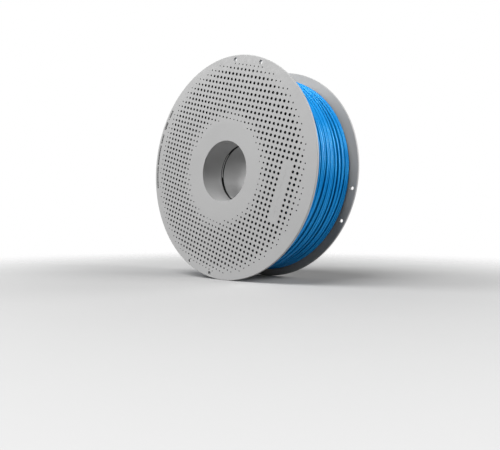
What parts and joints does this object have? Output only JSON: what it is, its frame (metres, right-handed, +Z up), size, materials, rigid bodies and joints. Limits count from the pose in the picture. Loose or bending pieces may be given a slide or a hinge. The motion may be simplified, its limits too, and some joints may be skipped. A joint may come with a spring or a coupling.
{
  "type": "filament spool",
  "caption": "Wide flanged spool of wound filament on a cardboard core, with perforated flanges, a plain round bore and a two-part hub that twists and locks.",
  "frame": {"origin": "middle of the spool, on its axis, halfway between the two outer faces", "axes": "+Y along the spool's axis from side A to side B, +Z up with the spool standing on its two rims, +X to the right seen from side A"},
  "size_m": [0.2, 0.067, 0.2],
  "materials": {
    "side_plastic": "satin light grey moulded plastic",
    "core_board": "plain spiral-wound board",
    "filament_plastic": "glossy azure blue strand",
    "tag_label": "smooth white sticker"
  },
  "bodies": {
    "side_a": {"side_a": "side_plastic"},
    "refill": {"core": "core_board", "filament": "filament_plastic", "id_tag_a": "tag_label", "id_tag_b": "tag_label"},
    "side_b": {"side_b": "side_plastic"}
  },
  "joints": [
    {"name": "lock_twist", "type": "hinge", "parent": "side_a", "child": "refill", "pos_m": [0, 0, 0], "axis": [0, 1, 0], "range_deg": [0, 38]},
    {"name": "pull_off", "type": "slide", "parent": "refill", "child": "side_b", "axis": [0, 1, 0], "range_m": [0, 0.06]}
  ]
}
